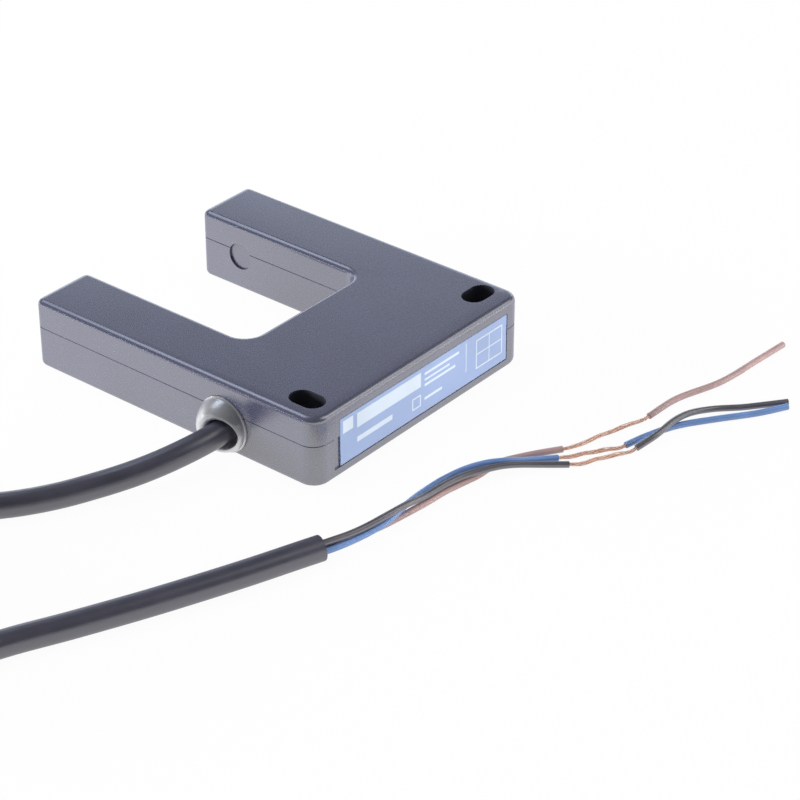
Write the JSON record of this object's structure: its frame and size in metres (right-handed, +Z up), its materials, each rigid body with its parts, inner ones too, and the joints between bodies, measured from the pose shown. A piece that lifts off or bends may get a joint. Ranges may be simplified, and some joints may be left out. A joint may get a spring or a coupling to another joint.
{
  "type": "fork sensor",
  "caption": "U-shaped photoelectric fork sensor: a light beam crosses the gap between its arms. Slotted fixing holes, blue rear label, clear cable bush and a cable with bared cores.",
  "frame": {"origin": "middle of the housing's rectangle, at the underside", "axes": "+X from the cable-side arm to the other arm, +Y towards the open tips of the fork, +Z up from the underside"},
  "size_m": [0.2112, 0.1299, 0.0179],
  "materials": {
    "housing": "satin, fine grain",
    "window": "polished, dark",
    "diode_body": "polished",
    "board": "satin",
    "chip": "matt",
    "capacitor": "matt",
    "lamp": "gloss",
    "bush": "clear, polished",
    "clamp": "satin",
    "label": "satin",
    "jacket": "satin",
    "tie": "satin",
    "brown": "satin",
    "black": "satin",
    "blue": "satin",
    "copper": "bright"
  },
  "bodies": {
    "root": {"lower_shell": "housing", "upper_shell": "housing", "emitter_lens": "window", "receiver_lens": "window", "emitter_diode": "diode_body", "receiver_diode": "diode_body", "circuit_board": "board", "signal_chip": "chip", "output_transistor": "chip", "capacitors": "capacitor", "resistors": "chip", "status_led": "lamp", "lamp_bush": "bush", "cable_clamp": "clamp", "label_plate": "label", "brown_lead": "brown", "black_lead": "black", "blue_lead": "blue", "cable_lead": "jacket", "cable_coil": "jacket", "coil_tie": "tie", "cable_tail": "jacket", "brown_core": "brown", "black_core": "black", "blue_core": "blue", "brown_strands": "copper", "black_strands": "copper", "blue_strands": "copper", "brown_slug": "brown", "black_slug": "black", "blue_slug": "blue"}
  },
  "joints": []
}
